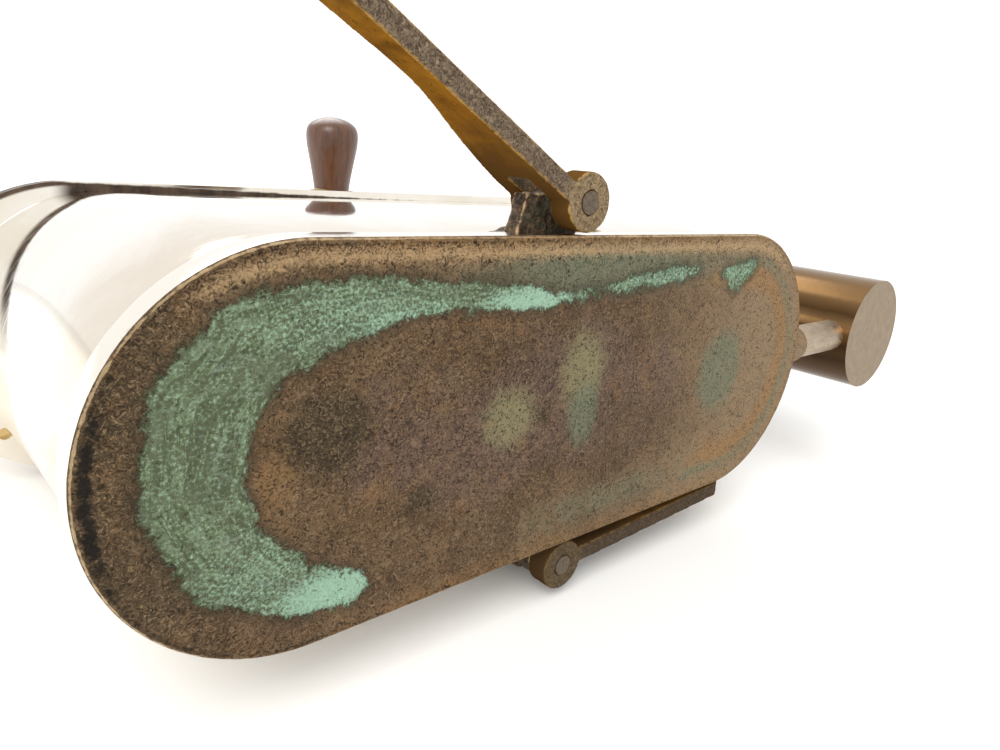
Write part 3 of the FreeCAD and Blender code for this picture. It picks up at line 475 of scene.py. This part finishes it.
def worn_pin():
    """The foot levers' pins: matte brown ends."""
    look = Shader("worn_pin", metallic=0.4, roughness=0.6, Specular_IOR_Level=0.3)
    grain = look.noise(0.9, 5, 0.7)
    colour = look.ramp(grain, (0.35, (0.070, 0.052, 0.036)), (0.65, (0.165, 0.125, 0.088)))
    return look.finish(colour, look.band(grain, 0.3, 0.7, 0.5, 0.7), None, look.bump(grain, 0.0001, 0.8))


def turned_metal(name, tint, roughness, spread=0.12):
    """Turned metal with soft tarnish patches."""
    look = Shader(name, metallic=1.0, roughness=roughness)
    darker = tuple(value * (1 - 4 * spread) for value in tint)
    colour = look.ramp(look.noise(0.10, 4, 0.6, 0.4), (0.32, darker), (0.62, tint))
    rings = look.noise(1.6, 2, 0.5, 0.0, look.stretch(0.2, 0.2, 3.0))
    rough = look.band(rings, 0.35, 0.7, roughness * 0.75, min(roughness * 1.5, 1.0))
    return look.finish(colour, rough, None, look.bump(rings, 0.00002, 0.5))


def varnished_wood():
    """Dark reddish-brown wood under varnish, its grain along the knob's axis."""
    look = Shader("varnished_wood", metallic=0.0, roughness=0.45, Coat_Weight=0.25, Coat_Roughness=0.2)
    fibre = look.noise(0.55, 5, 0.6, 0.3, look.stretch(1.0, 0.09, 1.0))
    pore = look.noise(2.4, 3, 0.6, 0.0, look.stretch(1.0, 0.08, 1.0))
    colour = look.ramp(fibre, (0.30, (0.060, 0.022, 0.010)), (0.52, (0.098, 0.037, 0.016)),
                       (0.72, (0.135, 0.057, 0.024)))
    colour = look.mix(look.band(pore, 0.6, 0.72, 0.0, 0.7), colour, (0.018, 0.008, 0.006))
    return look.finish(colour, look.band(fibre, 0.3, 0.7, 0.3, 0.5), None, look.bump(pore, 0.00006, 0.5))


def soft_material(name, light, dark, roughness):
    """Leather or rubber: two tones and a fine grain."""
    look = Shader(name, metallic=0.0, roughness=roughness)
    grain = look.cells(1.2)
    colour = look.ramp(look.noise(0.2, 4), (0.35, dark), (0.65, light))
    rough = look.band(grain, 0.1, 0.6, roughness * 0.8, roughness)
    return look.finish(colour, rough, None, look.bump(grain, 0.0001, 0.6))


def make_materials():
    """One material for each of the record's slots."""
    return {
        "cast_bronze": bronze("cast_bronze", (0.24, 0.15, 0.08), (0.07, 0.04, 0.025), 0.55, 1.0, 0.0003),
        "nickel": polished_nickel(),
        "dark_bronze": flange_metal(),
        "bronze": bronze("bronze", (0.50, 0.33, 0.15), (0.24, 0.14, 0.06), 0.36, 0.7),
        "lever_bronze": lever_casting(),
        "corroded_bronze": corroded_bronze(),
        "polished_bronze": turned_metal("polished_bronze", (0.56, 0.36, 0.18), 0.2),
        "satin_bronze": turned_metal("satin_bronze", (0.46, 0.37, 0.27), 0.45, 0.06),
        "brass": turned_metal("brass", (0.75, 0.54, 0.24), 0.22),
        "steel": turned_metal("steel", (0.50, 0.46, 0.40), 0.3, 0.08),
        "leather": soft_material("leather", (0.24, 0.13, 0.065), (0.10, 0.05, 0.025), 0.55),
        "rubber": soft_material("rubber", (0.05, 0.05, 0.05), (0.025, 0.025, 0.025), 0.7),
        "varnished_wood": varnished_wood(),
    }


# ---------------------------------------------------------------- mesh building blocks

def new_piece(name, points, faces, body, material, node=None):
    """A smooth-shaded mesh that rides on a body and stands for a node."""
    mesh = bpy.data.meshes.new(name)
    mesh.from_pydata([tuple(point) for point in points], [], faces)
    mesh.validate()
    mesh.polygons.foreach_set("use_smooth", [True] * len(mesh.polygons))
    mesh.materials.append(material)
    made = bpy.data.objects.new(name, mesh)
    bpy.context.scene.collection.objects.link(made)
    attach(made, body)
    if node:
        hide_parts(node)
    return made


def read_rows(items, field, width, kind=float):
    """A field of a mesh's points or edges, one row for each."""
    flat = np.zeros(len(items) * width, dtype=kind)
    items.foreach_get(field, flat)
    return flat.reshape(-1, width)


def keep_marks(piece, marks):
    """Keeps each mark as one number for each of a mesh's points."""
    for name, values in marks.items():
        field = piece.data.attributes.new(name, "FLOAT", "POINT")
        field.data.foreach_set("value", np.asarray(values, dtype=np.float32))


def oblong_point(share, half_width, half_length):
    """A point of an oblong with round ends, by the share of its way round from the middle of its -Y side."""
    straight = half_length - half_width
    arc = math.pi * half_width
    way = share * (4 * straight + 2 * arc)
    if way < straight:
        return way, -half_width
    way -= straight
    if way < arc:
        angle = way / half_width - math.pi / 2
        return straight + half_width * math.cos(angle), half_width * math.sin(angle)
    way -= arc
    if way < 2 * straight:
        return straight - way, half_width
    way -= 2 * straight
    if way < arc:
        angle = way / half_width + math.pi / 2
        return -straight + half_width * math.cos(angle), half_width * math.sin(angle)
    return -straight + (way - arc), -half_width


def oblong_ring(count, half_width, half_length, height):
    """A level ring of points round an oblong."""
    return [(*oblong_point(step / count, half_width, half_length), height) for step in range(count)]


def ring_faces(rings, count, closed=False):
    """Quads between successive rings of equal counts, and back to the first ring where closed."""
    faces = []
    pairs = list(zip(range(rings - 1), range(1, rings)))
    if closed:
        pairs.append((rings - 1, 0))
    for low, high in pairs:
        for step in range(count):
            after = (step + 1) % count
            faces.append((low * count + step, low * count + after,
                          high * count + after, high * count + step))
    return faces


# ---------------------------------------------------------------- the shell

def make_shell(material):
    """The plated wall as one closed thin skin, waisted at its ends and crowned on its flat sides."""
    low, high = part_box("body_shell")
    count = 480
    levels = 72
    wall = 2 * MM
    foot_width = 44.8 * MM
    foot_length = 130.1 * MM
    # share of the height, then how far half the width and half the length have grown, in millimetres
    growth = [(0, 0, 0), (0.33, 2.9, 0.2), (0.7, 3.0, 1.5), (1, 1.4, 5.3)]
    heights = [height for height, _, _ in growth]
    width_curve = np.polyfit(heights, [foot_width + wider * MM for _, wider, _ in growth], 3)
    length_curve = np.polyfit(heights, [foot_length + longer * MM for _, _, longer in growth], 3)
    upward = [level / levels for level in range(levels + 1)]
    points = []
    for inset, shares in ((0, upward), (wall, upward[::-1])):
        for share in shares:
            half_width = float(np.polyval(width_curve, share)) - inset
            half_length = float(np.polyval(length_curve, share)) - inset
            points += oblong_ring(count, half_width, half_length, low[2] + (high[2] - low[2]) * share)
    faces = ring_faces(2 * (levels + 1), count, closed=True)
    new_piece("shell_skin", points, faces, "root", material, "body_shell")


# ---------------------------------------------------------------- the base

# bands of verdigris on the underside: centre x, centre y and half width, in millimetres
CRUST_LINE = [
    (-75.5, 36, 4.4), (-90, 31.5, 6.8), (-105, 20, 9.5), (-112, 3, 10), (-109, -15, 11), (-99, -27, 10),
    (-84, -31.5, 8), (-66, -34, 5.5), (-50, -34, 3.2), (-34, -33, 3.8), (-20, -31.5, 3.2), (-10, -31, 1.0),
]
CRUST_STREAK = [(-8, -31, 1.5), (6, -32.5, 1.2), (22, -34, 2.2), (44, -36, 2.4), (52, -36.5, 1.5)]
CRUST_PATCH = [(71, -35, 2.6), (77, -33, 5.0), (87, -37, 2.6)]
NO_CRUST = -20

# soft round stains: centre x, centre y, reach x, reach y in millimetres, and strength
SPOTS = {
    "mint": [(-80, 35, 22, 9, 1), (-22, -31, 24, 6, 1), (50, -35, 90, 8, 0.42), (-72, -31, 34, 11, 0.32),
             (-98, 26, 20, 16, 0.30), (-60, -28, 25, 8, 0.6)],
    "pale": [(-27, 1, 15, 14, 1), (1, -9, 15, 19, 1)],
    "haze": [(76, 1, 17, 19, 1.6), (3, 5, 9, 14, 1.2), (20, 36, 60, 9, 0.55), (10, -38, 75, 10, 1.1)],
    "dark": [(-82, -5, 16, 15, 1.1), (-56, 17.5, 8, 6, 0.8), (-14, 2, 6, 7, 0.7)],
    "warm": [(-68, 14, 22, 11, 0.3), (-93, 3, 10, 18, 0.45)],
    "middle": [(-15, 0, 80, 30, 1)],
}


def distance_inside(x, y, *lines):
    """How far points lie inside bands of varying half width round lines of points."""
    best = np.full(x.shape, -1e3)
    for line in lines:
        for (ax, ay, ar), (bx, by, br) in zip(line, line[1:]):
            dx, dy = bx - ax, by - ay
            share = np.clip(((x - ax) * dx + (y - ay) * dy) / (dx * dx + dy * dy), 0, 1)
            gap = np.hypot(x - ax - share * dx, y - ay - share * dy)
            best = np.maximum(best, ar + share * (br - ar) - gap)
    return best


def spots(x, y, name):
    """A mark's soft round spots: full at their centres, nothing outside their reach."""
    best = np.zeros(x.shape)
    for centre_x, centre_y, reach_x, reach_y, strength in SPOTS[name]:
        away = np.hypot((x - centre_x) / reach_x, (y - centre_y) / reach_y)
        best = np.maximum(best, np.clip(1.4 * (1 - away), 0, 1) * strength)
    return best


def rise(value, start, width):
    """0 up to a start, then rising to 1 over a width."""
    return np.clip((value - start) / width, 0, 1)


def strip(inset, centre, reach, peak=1.0):
    """A soft strip along the base's edge, strongest at one inset from it."""
    return np.clip(peak - np.abs(inset - centre) / reach, 0, 1)


def base_marks(x, y, z, inset):
    """The base's stains, with painted glints and the painted shade and highlight along the rim: one soft map for
    each kind of mark, by place and inset in millimetres.
    """
    under = z < 1.6
    left = rise(-x, 95, 20) * rise(y, -30, 20) * rise(-y, -30, 20)
    haze = np.maximum(spots(x, y, "haze"), strip(inset, 9, 4) * 0.8 * (x > 60))
    dark = np.maximum(spots(x, y, "dark"), rise(-x, 95, 22) * 0.52)
    warm = np.maximum(spots(x, y, "warm"), strip(inset, 14, 8) * rise(x, 55, 25) * 1.3)
    warm = np.maximum(warm, np.clip(1 - inset / 8, 0, 1) * np.clip(0.6 + (x + 60) / 80, 0.15, 0.6))
    # edge: where painted golden glints run along the rim
    edge = np.maximum(strip(inset, 4, 6) * rise(-y, 25, 15), strip(inset, 5, 7) * (x < -85) * 0.55)
    # painted shade: a black band along the rim, just inside the lip, wider at the left end
    painted_rim_shade = np.maximum(strip(inset, 2.6, 2.0, 1.3) * left,
                       strip(inset, 1.5, 1.0, 1.2) * np.clip((20 - x) / 60, 0.3, 0.62))
    light = 1.25 * rise(x, 30, 85) + 0.28 * strip(inset, 7, 7) * (y < -25)
    light = light + 0.35 * rise(y, 20, 14) * (x > -20)
    return {
        "crust": np.where(under, distance_inside(x, y, CRUST_LINE, CRUST_STREAK, CRUST_PATCH), NO_CRUST),
        "mint": spots(x, y, "mint"),
        "pale": spots(x, y, "pale") * under,
        "haze": haze * under,
        "dark": dark * under,
        "warm": warm,
        "edge": edge * under,
        # lip: a painted highlight along the rim's edge; on the side wall, paler towards the left end
        "lip": np.where(under, strip(inset, 0.35, 0.45, 1.1), 0.45 + 0.35 * rise(-x, 60, 40)),
        "painted_rim_shade": painted_rim_shade * under,
        "inner": rise(y, -38, 12) * 0.6 * (x > -108),
        "light": light,
        "middle": spots(x, y, "middle"),
        "plate": rise(z, 1.0, 0.6),
    }


def base_profile():
    """(inset, height) in millimetres from the middle of the underside, round the bead, over the top."""
    centre = 48
    gap = 0.001
    bead = 1.4
    top = 10.5
    rings = 34
    quarter = [math.pi / 2 * step / 8 for step in range(9)]
    profile = [(centre - gap - (centre - bead) * step / rings, 0.0) for step in range(rings)]
    profile += [(bead - bead * math.sin(angle), bead - bead * math.cos(angle)) for angle in quarter]
    profile += [(bead - bead * math.cos(angle), top - bead + bead * math.sin(angle)) for angle in quarter]
    return profile + [(6, top), (24, top), (centre - gap, top)]


def roughen_base(place):
    """Lifts the underside's points a little, less under the verdigris, and shifts the side's up and down."""
    top = 10 * MM
    under_share = 0.7
    side_share = 0.6
    crust = distance_inside(place[:, 0] / MM, place[:, 1] / MM, CRUST_LINE, CRUST_STREAK)
    under = place[:, 2] < 0.1 * MM
    for index in np.nonzero(place[:, 2] < top)[0]:
        spot = Vector(place[index]) * 1000
        rough = noise.noise(spot * 0.35) * 0.10 + noise.noise(spot * 1.1) * 0.07
        if under[index]:
            raised = min(max(crust[index] / 2.0, 0), 1) * (0.18 + 0.14 * noise.noise(spot * 0.5))
            place[index, 2] += (0.30 - raised + rough) * MM * under_share
        else:
            place[index, 2] += rough * MM * side_share


def make_base(material):
    """The base with a cast, pitted underside, and a crust of verdigris."""
    low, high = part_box("base_casting")
    half_width = high[1]
    half_length = -low[0]
    thinnest = 1e-5
    count = 520
    profile = base_profile()
    points = []
    for inset, height in profile:
        width = max(half_width - inset * MM, thinnest)
        points += oblong_ring(count, width, half_length - inset * MM, height * MM)
    place = np.array(points)
    roughen_base(place)
    faces = [tuple(reversed(face)) for face in ring_faces(len(profile), count)]
    made = new_piece("base_skin", place, faces, "root", material, "base_casting")
    x, y, z = (read_rows(made.data.vertices, "co", 3) / MM).T
    straight = (half_length - half_width) / MM
    inset = half_width / MM - np.hypot(np.clip(np.abs(x) - straight, 0, None), y)
    keep_marks(made, base_marks(x, y, z, inset))


def make_boss(material):
    """The boss at the base's right end that takes the suction pipe."""
    right_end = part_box("base_casting")[1][0]
    axis_height = 9.5
    mean_radius = 9
    count = 72
    # x and radius in millimetres, along the outside to the mouth and back inside
    profile = [(124.3, 9.3), (144.9, 8.0), (145.9, 7.7), (146.3, 7.1), (146.2, 6.9), (130.0, 6.95)]
    points = []
    for x, radius in profile:
        for step in range(count):
            angle = 2 * math.pi * step / count
            across = math.cos(angle)
            up = math.sin(angle)
            rough = 0.12 * noise.noise(Vector((x, mean_radius * across, mean_radius * up)) * 0.4)
            reach = radius + rough
            points.append((min(x * MM, right_end), reach * MM * across, (axis_height + reach * up) * MM))
    faces = ring_faces(len(profile), count)
    made = new_piece("base_boss", points, faces, "root", material, None)
    # the edge mark gives the boss part of the painted golden glints
    marks = {"warm": 0.3, "light": 1.0, "edge": 0.5, "crust": NO_CRUST}
    keep_marks(made, {name: np.full(len(points), value) for name, value in marks.items()})


# ---------------------------------------------------------------- castings made dense from their CAD shape

def remeshed(source, name, voxel, rounds):
    """An object with a finely remeshed copy of a CAD node's shape, its edges softened."""
    mesh = source.data.copy()
    made = bpy.data.objects.new(name, mesh)
    bpy.context.scene.collection.objects.link(made)
    remesh = made.modifiers.new("Remesh", "REMESH")
    remesh.mode = "VOXEL"
    remesh.voxel_size = voxel
    remesh.adaptivity = 0.0
    soften = made.modifiers.new("Smooth", "SMOOTH")
    soften.factor = 0.5
    soften.iterations = rounds
    shaped = bpy.data.meshes.new_from_object(made.evaluated_get(bpy.context.evaluated_depsgraph_get()))
    made.modifiers.clear()
    made.data = shaped
    bpy.data.meshes.remove(mesh)
    return made


def edge_bulge(mesh, place, normals, full):
    """How sharply the mesh bulges at each point, spread to its neighbours: 1 where it reaches full."""
    first, last = read_rows(mesh.edges, "vertices", 2, int).T
    ways = ((first, last), (last, first))
    bend = np.zeros(len(place))
    ties = np.zeros(len(place))
    for here, there in ways:
        toward = place[there] - place[here]
        np.add.at(bend, here, -(toward * normals[here]).sum(1))
        np.add.at(ties, here, 1)
    bend /= np.maximum(ties, 1)
    for _ in range(3):
        spread = np.zeros(len(place))
        for here, there in ways:
            np.add.at(spread, here, bend[there])
        bend = 0.5 * bend + 0.5 * spread / np.maximum(ties, 1)
    return np.clip(bend / full, 0, 1)


def make_casting(name, body, material, voxel, rounds, grain, grain_scale, face_share=1.0):
    """Replaces a CAD node by a dense copy with cast grain, less on faces that don't look up or down."""
    made = remeshed(frame["nodes"][name], name + "_skin", voxel, rounds)
    mesh = made.data
    place = read_rows(mesh.vertices, "co", 3)
    normals = read_rows(mesh.vertices, "normal", 3)
    # how far each point bulges: rubbed edges on the levers, painted golden glints on the brackets
    wear_and_painted_light = edge_bulge(mesh, place, normals, voxel * 0.10)
    heights = np.array([noise.noise(Vector(point) * 1000 * grain_scale) for point in place])
    heights *= face_share + (1 - face_share) * rise(np.abs(normals[:, 2]), 0.6, 0.3)
    place = place + normals * (heights * grain * MM)[:, None]
    mesh.vertices.foreach_set("co", place.ravel())
    mesh.polygons.foreach_set("use_smooth", [True] * len(mesh.polygons))
    mesh.materials.clear()
    mesh.materials.append(material)
    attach(made, body)
    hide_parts(name)
    keep_marks(made, {"wear_and_painted_light": wear_and_painted_light})
    return made, place


def make_lever(side, painted_lever_shade, material):
    """A foot lever, its eye and root marked by the distance from its hinge, in millimetres."""
    hinge = next(row["pos_m"] for row in frame["joints"] if row["name"] == side + "_foot_hinge")
    made, place = make_casting(side + "_foot_lever", side + "_foot", material,
                               voxel=0.00045, rounds=6, grain=0.16, grain_scale=0.8, face_share=0.12)
    away = np.hypot(place[:, 0] - hinge[0], place[:, 1] - hinge[1]) / MM
    keep_marks(made, {
        "painted_lever_shade": np.full(len(place), painted_lever_shade),
        "eye": np.clip((11 - away) / 4, 0, 0.8),
        "root": rise(-away, -48, 30) + 0.5 * rise(away, 70, 20),
    })


def make_bracket(side, material):
    """A foot lever's bracket."""
    make_casting(side + "_foot_bracket", "root", material,
                 voxel=0.0004, rounds=10, grain=0.45, grain_scale=0.4)


# ---------------------------------------------------------------- the whole object

def dress_nodes(materials):
    """Gives every CAD node its slot's material, with materials of their own for the pot and the pins."""
    pin = worn_pin()
    special = {"suction_pot": pot_metal(), "front_foot_pin": pin, "rear_foot_pin": pin}
    for name, node in frame["nodes"].items():
        node.data.materials.clear()
        node.data.materials.append(special.get(name) or materials[SLOTS[name]])


make_camera()
make_stage()
make_light()
materials = make_materials()
dress_nodes(materials)
base_material = cast_base()
make_shell(materials["nickel"])
make_base(base_material)
make_boss(base_material)
# the rear lever takes the painted shade
for side, painted_lever_shade in (("front", 0.0), ("rear", 1.0)):
    make_lever(side, painted_lever_shade, materials["lever_bronze"])
for side in ("front", "rear"):
    make_bracket(side, materials["corroded_bronze"])
